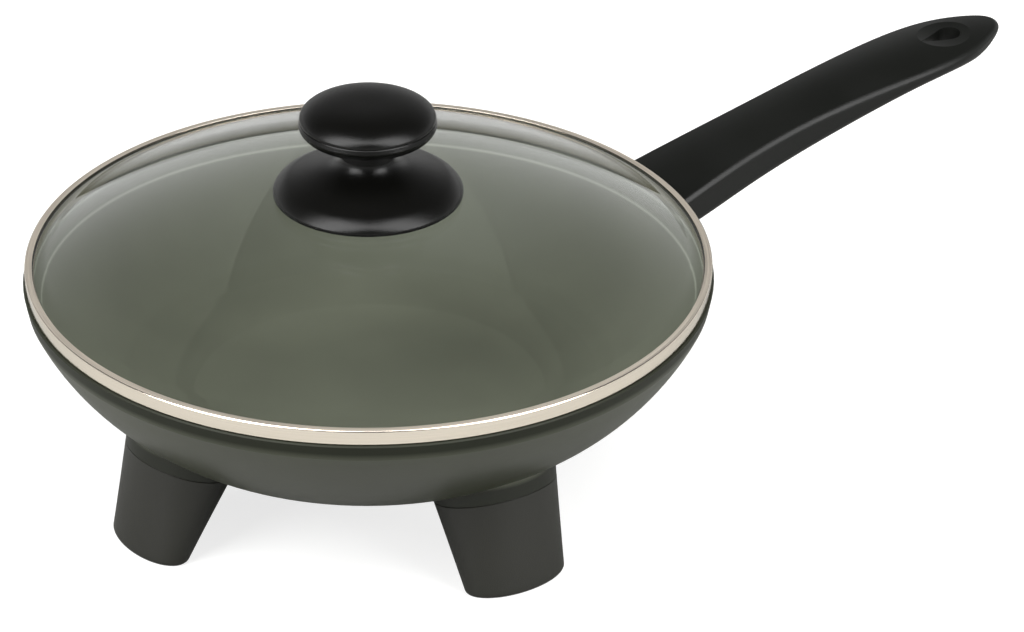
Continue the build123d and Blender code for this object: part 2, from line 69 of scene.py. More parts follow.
def linear(code):
    """An sRGB hex colour as linear red, green and blue."""
    shares = [int(code[i : i + 2], 16) / 255 for i in (0, 2, 4)]
    return tuple(c / 12.92 if c <= 0.04045 else ((c + 0.055) / 1.055) ** 2.4 for c in shares)


def colour(name, description, code):
    """A colour, given as an sRGB hex code and held as linear light."""
    return FloatVectorProperty(name=name, description=description, subtype="COLOR", size=3, min=0, max=1,
                               default=linear(code))


def length(name, description, default):
    """A size, given in millimetres and held in metres."""
    return FloatProperty(name=name, description=description, subtype="DISTANCE", unit="LENGTH", min=0,
                         default=default * MM)


def angle(name, description, default):
    """An angle, given in degrees and held in radians."""
    return FloatProperty(name=name, description=description, subtype="ANGLE", default=math.radians(default))


def number(name, description, default, least=0):
    """A number without a unit."""
    return FloatProperty(name=name, description=description, default=default, min=least)


def count(name, description, default, least=4):
    """A whole number of faces, rings or stations."""
    return IntProperty(name=name, description=description, default=default, min=least)


# ---------------------------------------------------------------- what a user would change


class SkilletFinishes(bpy.types.PropertyGroup):
    """Colours of the materials."""

    coating: colour("Outside coating", "Sprayed coating outside the pan", "3b3e30")
    lining: colour("Lining", "Non-stick coating inside the pan", "66675b")
    # Painted highlight: this pale colour is painted in two thin lines on the lining, where light glints off
    # the ledge under the lid and a line below it.
    edge: colour("Lining's edges", "Non-stick coating where it thins, over the edges under the lid", "d2d4c6")
    # Painted shade: this dark colour is painted on the bosses, for the shade that the bowl above casts on
    # them.
    painted_boss_shade: colour("Bosses", "Coating on the bosses over the legs", "191b13")
    # Painted shade: the upright rim is painted nearly black, partly a darker coating and partly the shade
    # under the band's overhang.
    rim: colour("Rim", "Darker coating on the upright rim", "262820")
    leg: colour("Legs", "Moulded legs", "1f1f1a")
    handle: colour("Handle", "Moulded handle", "0c0d0b")
    knob: colour("Knob", "Moulded knob", "070706")
    shroud: colour("Shroud", "Moulded guard round the terminals", "161614")
    steel: colour("Band", "Polished steel band", "efe5d6")
    glass: colour("Glass", "Tint of the glass", "f9fcfa")
    glass_shadow: colour("Glass's shadow", "What the glass lets through of a lamp's light", "f1f3f2")
    silicone: colour("Silicone", "Gasket and seals", "2a2a29")
    sheath: colour("Sheath", "Steel sheath of the element", "6b6259")
    ceramic: colour("Ceramic", "Beads round the terminals", "e4dfd2")
    plating: colour("Plating", "Nickel on the terminals", "c4c1ba")
    zinc: colour("Zinc", "Zinc on screws and washers", "b4b7ba")
    brass: colour("Brass", "Turned insert in the knob", "c9a65a")


class SkilletPan(bpy.types.PropertyGroup):
    """Where the pan's coatings meet."""

    rim_foot: length("Foot of the rim", "Height at which the upright rim turns to the bowl", 86.8)
    rim_land: length("Inner edge", "Radius inside which the lining begins", 137.4)
    soft: length("Overlap", "Half the width over which one coating fades to the next", 1.6)
    seat: length("Seat", "Height of the ledge under the lid", 88.5)
    line: length("Line", "Height of the second pale line, under the ledge", 82.7)
    line_width: length("Line width", "Half the width of the pale lines", 0.8)
    # Painted highlight: how strongly the two pale lines are painted over the lining.
    wear_and_ring_highlight: number("Wear", "How far the pale lines go from the lining's colour to that of its edges", 0.38)
    boss_top: length("Bosses", "Height of the top of the bosses over the legs", 48)
    boss_dulling: number("Dull bosses", "How far the bosses lose the sheen of the bowl", 0.5)


class SkilletGlass(bpy.types.PropertyGroup):
    """Sizes of the domed glass."""

    thickness: length("Thickness", "Thickness of the glass", 4.0)
    inset: length("Inset", "Outer side of the band to the foot of the dome", 3.95)
    hole: length("Hole", "Radius of the hole for the knob's screw", 5.0)
    edge: length("Edge", "Radius of the ground round edge", 0.8)
    segments: count("Segments", "Faces round the glass", 192, least=24)
    rings: count("Rings", "Rings from edge to hole", 24)


class SkilletBand(bpy.types.PropertyGroup):
    """Sizes of the steel band."""

    height: length("Height", "Height of the band's outer side", 6.3)
    lean: length("Lean", "How far the side leans in at its foot", 0.25)
    flange: length("Flange", "Width of the flange over the glass", 3.1)
    sheet: length("Sheet", "Thickness of the steel", 0.6)
    corner: length("Corner", "Radius from flange to side", 0.8)
    curl: length("Curl", "Radius of the flange's inner edge", 0.12)
    lip: length("Lip", "Edge of the lid to the lip that drops in the pan", 3.7)
    clearance: length("Clearance", "Lip to the gasket above it", 0.05)
    step: length("Step", "Thinning of the lip where it meets the sheet above it", 0.08)
    taper: length("Taper", "Thinning of the side at its top", 0.1)
    inner_corner: length("Inner corner", "Width of the bevel inside the corner", 0.3)
    inner_drop: length("Inner drop", "Height of the bevel inside the corner", 0.2)
    segments: count("Segments", "Faces round the band", 256, least=24)


class SkilletSkirt(bpy.types.PropertyGroup):
    """Sizes of the knob's skirt."""

    neck: length("Neck", "Radius of the neck", 10.8)
    flare: length("Flare", "Radius at which the flare has run out", 17.8)
    flare_pull: number("Full flare", "How close the flare comes to the corner that it rounds", 0.62)
    rise: length("Rise", "Height of the slope over the top of the edge, where the flare has run out", 5.6)
    land: length("Land", "Radius at which the slope would reach the top of the edge", 35)
    shoulder: length("Shoulder", "Radius at which the slope begins to round off", 32.6)
    shoulder_pull: number("Full shoulder", "How close the shoulder comes to the corner that it rounds", 0.45)
    edge: length("Edge", "Height of the edge", 5.0)
    upright: length("Upright", "Height of its part that stands upright", 0.9)
    wall: length("Wall", "Thickness of the moulding", 2.6)
    seal: length("Seal", "Radius of the pad on the seal", 12.0)
    seal_top: length("Pad", "Neck's top to the pad", 14.6)
    bore: length("Bore", "Radius of the hole for the screw", 2.9)
    segments: count("Segments", "Faces round the skirt", 192, least=24)
    parts: count("Parts", "Stations along each of its curves", 14)


class SkilletCap(bpy.types.PropertyGroup):
    """Sizes of the knob's cap."""

    edge: length("Edge", "Height of the upright edge", 0.7)
    crown: number("Crown", "How flat the middle is, 2 for an ellipse", 3.0, least=1)
    shoulder: number("Shoulder", "How square the shoulder is, 2 for an ellipse", 1.8, least=1)
    chamfer: length("Chamfer", "Bevel that shows as the parting line", 0.4)
    wall: length("Wall", "Thickness at the middle", 2.4)
    ring: length("Ring", "Outer radius of the ring that pushes into the lower shell", 19.0)
    ring_wall: length("Ring wall", "Thickness of that ring", 2.0)
    fall: length("Fall", "How much lower the roof is at the ring", 1.4)
    segments: count("Segments", "Faces round the cap", 160, least=24)
    rings: count("Rings", "Rings from edge to middle", 28)


class SkilletView(bpy.types.PropertyGroup):
    """Where the camera stands and what it takes in."""

    distance: length("Distance", "Camera to the middle of the lid's band", 2800)
    azimuth: angle("Azimuth", "Turn round the pan's axis, 0 looking along +Y", -33.0)
    elevation: angle("Elevation", "Height above the horizon", 28.754)
    pan: angle("Pan", "Turn of the camera to the right of the axis", 1.3638)
    tilt: angle("Tilt", "Dip of the camera below the horizon", 29.2337)
    roll: angle("Roll", "Lean of the camera", 0.2438)
    lens: FloatProperty(name="Lens", description="Focal length", unit="CAMERA", default=241.79)


class SkilletStudio(bpy.types.PropertyGroup):
    """The floor, the room and the two lamps."""

    floor_size: length("Floor size", "Side of the square floor", 60000)
    floor: colour("Floor", "Colour of the floor", "a6a6a4")
    bounce: colour("Bounce", "Colour that the floor throws back on the skillet", "444442")
    lift: number("Lift", "Glow that whitens the floor for the camera alone", 0.75)
    horizon: colour("Horizon", "Colour of the room near the horizon", "f0f0f0")
    ceiling: colour("Ceiling", "Colour of the room overhead", "202020")
    backdrop: colour("Backdrop", "Colour of the room to the camera itself", "ffffff")
    falloff: number("Falloff", "How fast the room darkens from the horizon up", 2.6)
    middle: number("Middle", "Share of the room's light behind the skillet", 0.8)
    sides: number("Sides", "Share of the room's light at its sides", 1.9)
    key: FloatProperty(name="Key", description="Lamp at the camera's left", unit="POWER", default=95)
    fill: FloatProperty(name="Fill", description="Lamp at the camera's right", unit="POWER", default=79)
    key_width: length("Key width", "Width of the lamp at the camera's left", 1500)
    fill_width: length("Fill width", "Width of the lamp at the camera's right", 1400)
    lamp_height: length("Lamp height", "Height of both lamps' panels", 3000)
    lamp_distance: length("Lamp distance", "Table to the middle of each panel", 2200)
    lamp_turn: angle("Lamp turn", "Camera to each lamp, round the pan's axis", 54)
    lamp_rise: angle("Lamp rise", "Height of each lamp above the horizon", 46)


# ---------------------------------------------------------------- nodes


def add_node(tree, kind, inputs=None, **options):
    """Adds a node, sets its options, and gives its inputs values or links. A node among the inputs stands for
    the first of its outputs that is in use."""
    node = tree.nodes.new(kind)
    for name, value in options.items():
        setattr(node, name, value)
    for name, value in (inputs or {}).items():
        if isinstance(value, bpy.types.Node):
            value = next(output for output in value.outputs if output.enabled)
        if isinstance(value, bpy.types.NodeSocket):
            tree.links.new(value, node.inputs[name])
        else:
            node.inputs[name].default_value = value
    return node


def new_material(name):
    """An empty material, its tree, and the place on the object."""
    material = bpy.data.materials.new(name)
    material.use_nodes = True
    tree = material.node_tree
    tree.nodes.clear()
    place = add_node(tree, "ShaderNodeTexCoord").outputs["Object"]
    return material, tree, place


def finish_material(tree, inputs):
    """Closes a material with its shader and output."""
    shader = add_node(tree, "ShaderNodeBsdfPrincipled", inputs)
    add_node(tree, "ShaderNodeOutputMaterial", {"Surface": shader})


def patches(tree, place, size, detail=2.0, low=0.0, high=1.0):
    """A number that wanders between low and high over patches of size millimetres."""
    inputs = {"Vector": place, "Scale": 1 / (size * MM), "Detail": detail, "Roughness": 0.55}
    noise = add_node(tree, "ShaderNodeTexNoise", inputs).outputs["Fac"]
    # Almost all of the noise lies between 0.3 and 0.7.
    inputs = {"Value": noise, "From Min": 0.3, "From Max": 0.7, "To Min": low, "To Max": high}
    return add_node(tree, "ShaderNodeMapRange", inputs)


def shaded(tree, base, share, low, high):
    """A colour multiplied by what lies between low and high as share lies between 0 and 1."""
    factor = add_node(tree, "ShaderNodeMapRange", {"Value": share, "To Min": low, "To Max": high})
    return add_node(tree, "ShaderNodeVectorMath", {0: base, "Scale": factor}, operation="SCALE")


def axis_distance(tree, place):
    """Outward direction from the pan's axis, and the distance from it."""
    flat = add_node(tree, "ShaderNodeVectorMath", {0: place, 1: (1, 1, 0)}, operation="MULTIPLY")
    outward = add_node(tree, "ShaderNodeVectorMath", {0: flat}, operation="NORMALIZE")
    return outward, add_node(tree, "ShaderNodeVectorMath", {0: flat}, operation="LENGTH")


def seen(tree, mirrored):
    """1 for light that goes straight or through glass to the camera, and by a mirror if that is wanted; 0 for
    the light that falls on the skillet."""
    path = add_node(tree, "ShaderNodeLightPath").outputs
    steps = [("ADD", "Is Transmission Ray"), ("SUBTRACT", "Diffuse Depth")]
    steps += [("ADD", "Is Glossy Ray")] if mirrored else [("SUBTRACT", "Glossy Depth")]
    light = path["Is Camera Ray"]
    for step, ray in steps:
        light = add_node(tree, "ShaderNodeMath", {0: light, 1: path[ray]}, operation=step)
    return add_node(tree, "ShaderNodeClamp", {"Value": light})


# ---------------------------------------------------------------- materials


def sprayed_nonstick_aluminium(finishes, pan):
    """Cast aluminium, sprayed and baked: charcoal with a satin sheen outside; smoother and paler inside, with
    two pale lines painted on as highlights, at the ledge under the lid and below it; matt and nearly black on
    the upright rim, a darker coating with painted shade under the band; painted shade on the bosses. Close
    up, all of it has a fine orange peel."""
    material, tree, place = new_material("sprayed_nonstick_aluminium")
    outward, radius = axis_distance(tree, place)
    height = add_node(tree, "ShaderNodeSeparateXYZ", {"Vector": place}).outputs["Z"]
    normal = add_node(tree, "ShaderNodeTexCoord").outputs["Normal"]
    normal_rise = add_node(tree, "ShaderNodeSeparateXYZ", {"Vector": normal}).outputs["Z"]
    away = add_node(tree, "ShaderNodeVectorMath", {0: outward, 1: (0, 0, 1)}, operation="SUBTRACT")
    facing = add_node(tree, "ShaderNodeVectorMath", {0: away, 1: normal}, operation="DOT_PRODUCT")

    # Each rises from 0 to 1 as a value goes from one limit to the other. The outside faces away from the axis
    # or down. The bosses stand steeper than the flat base between them, and lie lower than the bowl's side.
    outside, above, beyond, steep, low = (
        add_node(tree, "ShaderNodeMapRange", {"Value": value, "From Min": start, "From Max": stop})
        for value, start, stop in (
            (facing, -0.1, 0.1),
            (height, pan.rim_foot - pan.soft, pan.rim_foot + pan.soft),
            (radius, pan.rim_land - 0.1 * MM, pan.rim_land),
            (normal_rise, -0.6, -0.4),
            (height, pan.boss_top, pan.boss_top - pan.soft),
        )
    )
    # Painted shade: the upright rim under the band is painted darker and matt, partly a darker coating.
    rim = add_node(tree, "ShaderNodeMath", {0: above, 1: beyond}, operation="MULTIPLY")
    # Painted shade: marks the bosses, which are painted darker than the bowl and lose some of its sheen.
    painted_boss_shade = add_node(tree, "ShaderNodeMath", {0: steep, 1: low}, operation="MULTIPLY")
    # Painted highlights: pale lines painted along the ledge and a line below it, where light glints on the
    # lining.
    painted_ring_highlights = 0.0
    for edge in (pan.seat, pan.line):
        off = add_node(tree, "ShaderNodeMath", {0: height, 1: edge}, operation="SUBTRACT")
        off = add_node(tree, "ShaderNodeMath", {0: off}, operation="ABSOLUTE")
        inputs = {"Value": off, "From Min": pan.line_width, "From Max": 0.0}
        line = add_node(tree, "ShaderNodeMapRange", inputs)
        painted_ring_highlights = add_node(tree, "ShaderNodeMath", {0: line, 1: pan.wear_and_ring_highlight, 2: painted_ring_highlights}, operation="MULTIPLY_ADD")

    # Painted shade: the bosses' dark colour laid over the outside coating.
    inputs = {0: painted_boss_shade, MIX_FIRST: (*finishes.coating, 1), MIX_SECOND: (*finishes.painted_boss_shade, 1)}
    coating_with_boss_shade = add_node(tree, "ShaderNodeMix", inputs, data_type="RGBA")
    tone = (*finishes.lining, 1)
    for share, other in ((painted_ring_highlights, (*finishes.edge, 1)), (outside, coating_with_boss_shade), (rim, (*finishes.rim, 1))):
        inputs = {0: share, MIX_FIRST: tone, MIX_SECOND: other}
        tone = add_node(tree, "ShaderNodeMix", inputs, data_type="RGBA")

    peel = add_node(tree, "ShaderNodeBump", {"Height": patches(tree, place, 1.6), "Distance": 0.01 * MM})
    coat = {"Base Color": shaded(tree, tone, patches(tree, place, 45.0), 0.94, 1.06), "Normal": peel}
    smooth, satin, matt = (
        add_node(tree, "ShaderNodeBsdfPrincipled", {**coat, "Roughness": rough, "Specular IOR Level": gloss})
        for rough, gloss in ((0.4, 0.25), (0.36, 0.52), (0.45, 0.12))
    )
    inputs = {0: painted_boss_shade, 1: pan.boss_dulling, 2: rim}
    dull = add_node(tree, "ShaderNodeMath", inputs, operation="MULTIPLY_ADD", use_clamp=True)
    both = add_node(tree, "ShaderNodeMixShader", {0: outside, 1: smooth, 2: satin})
    both = add_node(tree, "ShaderNodeMixShader", {0: dull, 1: both, 2: matt})
    add_node(tree, "ShaderNodeOutputMaterial", {"Surface": both})
    return material


def moulded_phenolic(name, base, roughness, gloss, depth):
    """Phenolic moulding from a spark-eroded mould: an even grain, depth millimetres deep, softens its gloss.
    Real grain is about 0.1 mm across; this is 0.5 mm, so that it shows."""
    material, tree, place = new_material(name)
    pits = patches(tree, place, 0.5, detail=1.0)
    finish_material(tree, {
        "IOR": 1.52,
        "Specular IOR Level": gloss,
        "Base Color": shaded(tree, base, patches(tree, place, 60.0, detail=1.0), 0.93, 1.07),
        "Roughness": patches(tree, place, 30.0, low=roughness * 0.92, high=roughness * 1.08),
        "Normal": add_node(tree, "ShaderNodeBump", {"Height": pits, "Distance": depth * MM}),
    })
    return material


def polished_stainless_strip(base):
    """Stainless strip, rolled to shape and polished along its length: bright, with faint lines round the lid,
    and duller on its flange, where the lid is wiped. Real lines are finer than 0.1 mm; these are 0.5 mm
    apart, so that they show."""
    material, tree, place = new_material("polished_stainless_strip")
    _, radius = axis_distance(tree, place)
    height = add_node(tree, "ShaderNodeSeparateXYZ", {"Vector": place}).outputs["Z"]
    across = add_node(tree, "ShaderNodeCombineXYZ", {"X": radius, "Y": height})
    # A hundredth of the place lets the lines change slowly on their way round.
    drift = add_node(tree, "ShaderNodeVectorMath", {0: place, "Scale": 0.01}, operation="SCALE")
    track = add_node(tree, "ShaderNodeVectorMath", {0: across, 1: drift}, operation="ADD")
    lines = patches(tree, track, 0.5)
    normal = add_node(tree, "ShaderNodeTexCoord").outputs["Normal"]
    normal_rise = add_node(tree, "ShaderNodeSeparateXYZ", {"Vector": normal}).outputs["Z"]
    # Rises from the bright side to the flange, which faces up.
    inputs = {"Value": normal_rise, "From Min": 0.86, "From Max": 0.98, "To Min": 0.14, "To Max": 0.5}
    dulled = add_node(tree, "ShaderNodeMapRange", inputs)
    streak = add_node(tree, "ShaderNodeMapRange", {"Value": lines, "To Min": 0.9, "To Max": 1.15})
    finish_material(tree, {
        "Metallic": 1.0,
        "Base Color": shaded(tree, base, lines, 0.93, 1.02),
        "Roughness": add_node(tree, "ShaderNodeMath", {0: dulled, 1: streak}, operation="MULTIPLY"),
        "Normal": add_node(tree, "ShaderNodeBump", {"Height": lines, "Distance": 0.002 * MM}),
    })
    return material


def tempered_glass(base, passed):
    """Tempered float glass, pressed to a dome: clear, with a faint green in its edge. It lets a lamp's light
    through to what lies behind it."""
    material, tree, _ = new_material("tempered_glass")
    inputs = {"Base Color": (*base, 1), "Roughness": 0.0, "IOR": 1.52, "Transmission Weight": 1.0}
    glass = add_node(tree, "ShaderNodeBsdfPrincipled", inputs)
    clear = add_node(tree, "ShaderNodeBsdfTransparent", {"Color": (*passed, 1)})
    shadow = add_node(tree, "ShaderNodeLightPath").outputs["Is Shadow Ray"]
    mix = add_node(tree, "ShaderNodeMixShader", {0: shadow, 1: glass, 2: clear})
    add_node(tree, "ShaderNodeOutputMaterial", {"Surface": mix})
    return material


def silicone_rubber(base):
    """Moulded silicone: soft, dull, with a slight bloom."""
    material, tree, place = new_material("silicone_rubber")
    bloom = patches(tree, place, 6.0, low=0.5, high=0.65)
    finish_material(tree, {"Base Color": (*base, 1), "IOR": 1.41, "Sheen Weight": 0.1, "Roughness": bloom})
    return material


def metal(name, base, roughness, grain):
    """A plain metal, as drawn, plated or turned: its gloss varies a little over patches of grain millimetres,
    and its colour over patches four times as wide."""
    material, tree, place = new_material(name)
    wear_and_ring_highlight = patches(tree, place, grain, detail=3.0, low=roughness * 0.8, high=roughness * 1.2)
    tint = shaded(tree, base, patches(tree, place, grain * 4), 0.9, 1.05)
    finish_material(tree, {"Metallic": 1.0, "Base Color": tint, "Roughness": wear_and_ring_highlight})
    return material


def steatite(base):
    """Pressed and fired steatite: chalky white with a thin glaze."""
    material, tree, place = new_material("fired_steatite")
    grain = patches(tree, place, 0.8)
    finish_material(tree, {
        "IOR": 1.6,
        "Roughness": 0.38,
        "Base Color": shaded(tree, base, grain, 0.95, 1.03),
        "Normal": add_node(tree, "ShaderNodeBump", {"Height": grain, "Distance": 0.01 * MM}),
    })
    return material


# ---------------------------------------------------------------- modelling


def dress(material, *nodes):
    """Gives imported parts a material."""
    for name in nodes:
        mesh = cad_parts[name].data
        mesh.materials.clear()
        mesh.materials.append(material)


def arc(radius, height, size, start, end, parts=6):
    """Stations on an arc of a size about a middle, from one direction to another in degrees."""
    turns = [math.radians(start + (end - start) * i / parts) for i in range(parts + 1)]
    return [(radius + size * math.cos(turn), height + size * math.sin(turn)) for turn in turns]


def bend(start, corner, end, pull, parts):
    """Stations on a curve that leaves start towards a corner and comes from that corner to end."""
    start, corner, end = (Vector(point) for point in (start, corner, end))
    points = interpolate_bezier(start, start.lerp(corner, pull), end.lerp(corner, pull), end, parts)
    return [tuple(point) for point in points]


def turned(name, stations, segments):
    """A ring of vertices, extruded from station to station of a closed outline of radius and height."""
    bpy.ops.object.select_all(action="DESELECT")
    radius, height = stations[0]
    bpy.ops.mesh.primitive_circle_add(vertices=segments, radius=radius, location=(0, 0, height))
    piece = bpy.context.object
    piece.name = piece.data.name = name
    bpy.ops.object.mode_set(mode="EDIT")
    bpy.ops.mesh.select_all(action="SELECT")
    for next_radius, next_height in [*stations[1:], stations[0]]:
        bpy.ops.mesh.extrude_edges_move(TRANSFORM_OT_translate={"value": (0, 0, next_height - height)})
        growth = next_radius / radius
        bpy.ops.transform.resize(value=(growth, growth, 1), center_override=(0, 0, next_height))
        radius, height = next_radius, next_height
    bpy.ops.mesh.select_all(action="SELECT")
    bpy.ops.mesh.remove_doubles(threshold=MERGE)
    bpy.ops.mesh.delete_loose()
    bpy.ops.mesh.normals_make_consistent(inside=False)
    bpy.ops.object.mode_set(mode="OBJECT")
    bpy.ops.object.transform_apply(location=True, rotation=True, scale=True)
    return piece


def finish_piece(piece, body, material, nodes):
    """Shades a new piece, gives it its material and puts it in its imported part's place."""
    bpy.ops.object.select_all(action="DESELECT")
    piece.select_set(True)
    bpy.context.view_layer.objects.active = piece
    bpy.ops.object.shade_smooth_by_angle(angle=math.radians(SMOOTH_ANGLE))
    piece.data.materials.append(material)
    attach(piece, body)
    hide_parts(*nodes)


class SKILLET_OT_pan(bpy.types.Operator):
    """Coats the cast pan"""

    bl_idname = "skillet.pan"
    bl_label = "Pan"

    def execute(self, context):
        scene = context.scene
        dress(sprayed_nonstick_aluminium(scene.skillet_finishes, scene.skillet_pan), "pan_body")
        return {"FINISHED"}


class SKILLET_OT_terminals(bpy.types.Operator):
    """Finishes the heating element, its terminals and their guard"""

    bl_idname = "skillet.terminals"
    bl_label = "Element and terminals"

    def execute(self, context):
        finishes = context.scene.skillet_finishes
        material = metal("heat_tinted_steel_tube", finishes.sheath, roughness=0.42, grain=5.0)
        dress(material, "heating_element")
        dress(steatite(finishes.ceramic), "terminal_insulator_left", "terminal_insulator_right")
        material = metal("nickel_plated_steel", finishes.plating, roughness=0.24, grain=2.0)
        dress(material, "terminal_pin_left", "terminal_pin_right")
        base = finishes.shroud
        material = moulded_phenolic("moulded_phenolic_guard", base, roughness=0.5, gloss=0.4, depth=0.02)
        dress(material, "socket_shroud")
        return {"FINISHED"}


class SKILLET_OT_legs(bpy.types.Operator):
    """Finishes the four legs"""

    bl_idname = "skillet.legs"
    bl_label = "Legs"

    def execute(self, context):
        base = context.scene.skillet_finishes.leg
        material = moulded_phenolic("moulded_phenolic_legs", base, roughness=0.42, gloss=0.4, depth=0.02)
        dress(material, "leg_1", "leg_2", "leg_3", "leg_4")
        return {"FINISHED"}


class SKILLET_OT_handle(bpy.types.Operator):
    """Finishes the long handle"""

    bl_idname = "skillet.handle"
    bl_label = "Handle"

    def execute(self, context):
        base = context.scene.skillet_finishes.handle
        material = moulded_phenolic("moulded_phenolic_handle", base, roughness=0.38, gloss=0.26, depth=0.012)
        dress(material, "handle")
        return {"FINISHED"}


class SKILLET_OT_glass(bpy.types.Operator):
    """Models the domed glass with its ground edge"""

    bl_idname = "skillet.glass"
    bl_label = "Domed glass"

    def execute(self, context):
        finishes = context.scene.skillet_finishes
        size = context.scene.skillet_glass
        low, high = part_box("lid_glass")
        outer = high.x
        rim_low = low.z
        rim_high = rim_low + size.thickness
        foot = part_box("lid_rim_band")[1].x - size.inset
        rise = high.z - rim_high
        curve = (foot**2 + rise**2) / (2 * rise)
        centre = high.z - curve

        def on(radius, sphere):
            return radius, centre + math.sqrt(sphere**2 - radius**2)

        inner_curve = curve - size.thickness
        inner_foot = math.sqrt(inner_curve**2 - (rim_low - centre) ** 2)
        steps = [i / size.rings for i in range(size.rings + 1)]
        top = [on(foot + (size.hole - foot) * step, curve) for step in steps]
        under = [on(size.hole + (inner_foot - size.hole) * step, inner_curve) for step in steps]
        inner = outer - size.edge
        stations = [
            (outer, rim_low + size.edge), (outer, rim_high - size.edge), (inner, rim_high), *top, *under,
            (inner, rim_low),
        ]
        piece = turned("domed_glass", stations, size.segments)
        material = tempered_glass(finishes.glass, finishes.glass_shadow)
        finish_piece(piece, "lid", material, ["lid_glass"])
        return {"FINISHED"}


class SKILLET_OT_band(bpy.types.Operator):
    """Rolls the steel band round the glass, with soft edges, and finishes its gasket"""

    bl_idname = "skillet.band"
    bl_label = "Steel band"

    def execute(self, context):
        finishes = context.scene.skillet_finishes
        size = context.scene.skillet_band
        low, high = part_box("lid_rim_band")
        outer, lip_foot, top = high.x, low.z, high.z
        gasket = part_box("lid_gasket")[1].z
        base, under, nose = top - size.height, top - size.sheet, size.sheet / 2
        flange = outer - size.flange
        lip = outer - size.lip
        wall = lip - size.sheet
        inner = outer - size.sheet - size.taper
        stations = [
            *arc(flange + size.curl, top - size.curl, size.curl, 150, 90),
            *arc(outer - size.corner, top - size.corner, size.corner, 90, -5),
            *arc(outer - size.lean - nose, base + nose, nose, -5, -90),
            *arc(lip - nose, lip_foot + nose, nose, 0, -180),
            (wall, gasket - size.clearance), (wall + size.step, gasket - size.clearance),
            (wall + size.step, base + size.sheet), (outer - size.lean - size.sheet, base + size.sheet),
            (inner, under - size.inner_drop), (inner - size.inner_corner, under), (flange + nose, under),
        ]
        piece = turned("rolled_band", stations, size.segments)
        steel = polished_stainless_strip(finishes.steel)
        finish_piece(piece, "lid", steel, ["lid_rim_band"])
        dress(silicone_rubber(finishes.silicone), "lid_gasket", "knob_seal_top", "knob_seal_bottom")
        return {"FINISHED"}


class SKILLET_OT_knob(bpy.types.Operator):
    """Models the knob's skirt and cap with their round shoulders, and finishes the knob"""

    bl_idname = "skillet.knob"
    bl_label = "Knob"

    def execute(self, context):
        finishes = context.scene.skillet_finishes
        base = finishes.knob
        material = moulded_phenolic("moulded_phenolic_knob", base, roughness=0.25, gloss=0.24, depth=0.03)
        dress(material, "knob_stem")
        self.model_skirt(context.scene.skillet_skirt, material)
        self.model_cap(context.scene.skillet_cap, material)
        dress(metal("turned_brass", finishes.brass, roughness=0.28, grain=3.0), "knob_insert")
        return {"FINISHED"}

    def model_skirt(self, size, material):
        low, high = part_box("knob_skirt")
        outer, foot, top = high.x, low.z, high.z
        edge_top = foot + size.edge
        fall = size.rise / (size.land - size.flare)

        def slope(radius):
            return radius, edge_top + fall * (size.land - radius)

        side = (outer, foot + size.upright)
        inner = outer - size.wall
        roof = edge_top + size.rise - size.wall
        pad = top - size.seal_top
        stations = [
            *bend((size.neck, top), slope(size.neck), slope(size.flare), size.flare_pull, size.parts),
            *bend(slope(size.shoulder), slope(outer), side, size.shoulder_pull, size.parts),
            (outer, foot), (inner, foot), (inner, edge_top - size.wall), (size.flare, roof),
            (size.seal, roof), (size.seal, pad), (size.bore, pad), (size.bore, top),
        ]
        piece = turned("moulded_skirt", stations, size.segments)
        finish_piece(piece, "lid", material, ["knob_skirt"])

    def model_cap(self, size, material):
        low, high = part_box("knob_cap")
        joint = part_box("knob_stem")[1].z
        outer, top = high.x, high.z
        rise = top - joint - size.edge
        inner, roof = size.ring - size.ring_wall, top - size.wall

        def crown(radius):
            drop = 1 - (radius / outer) ** size.crown
            return radius, joint + size.edge + rise * drop ** (1 / size.shoulder)

        turns = [math.pi / 2 * i / size.rings for i in range(1, size.rings)]
        stations = [
            (outer, joint + size.chamfer), (outer, joint + size.edge),
            *[crown(outer * math.cos(turn) ** (2 / size.crown)) for turn in turns], (POLE, top), (POLE, roof),
            (inner, roof - size.fall), (inner, low.z), (size.ring, low.z), (size.ring, joint),
            (outer - size.chamfer, joint),
        ]
        piece = turned("domed_cap", stations, size.segments)
        finish_piece(piece, "lid", material, ["knob_cap"])


class SKILLET_OT_fasteners(bpy.types.Operator):
    """Finishes the screws and washers"""

    bl_idname = "skillet.fasteners"
    bl_label = "Screws and washers"

    def execute(self, context):
        material = metal("zinc_plated_steel", context.scene.skillet_finishes.zinc, roughness=0.34, grain=1.5)
        dress(material, "shroud_screws", "leg_washers", "leg_screws", "handle_screws", "handle_washers",
              "knob_washer", "knob_screw")
        return {"FINISHED"}


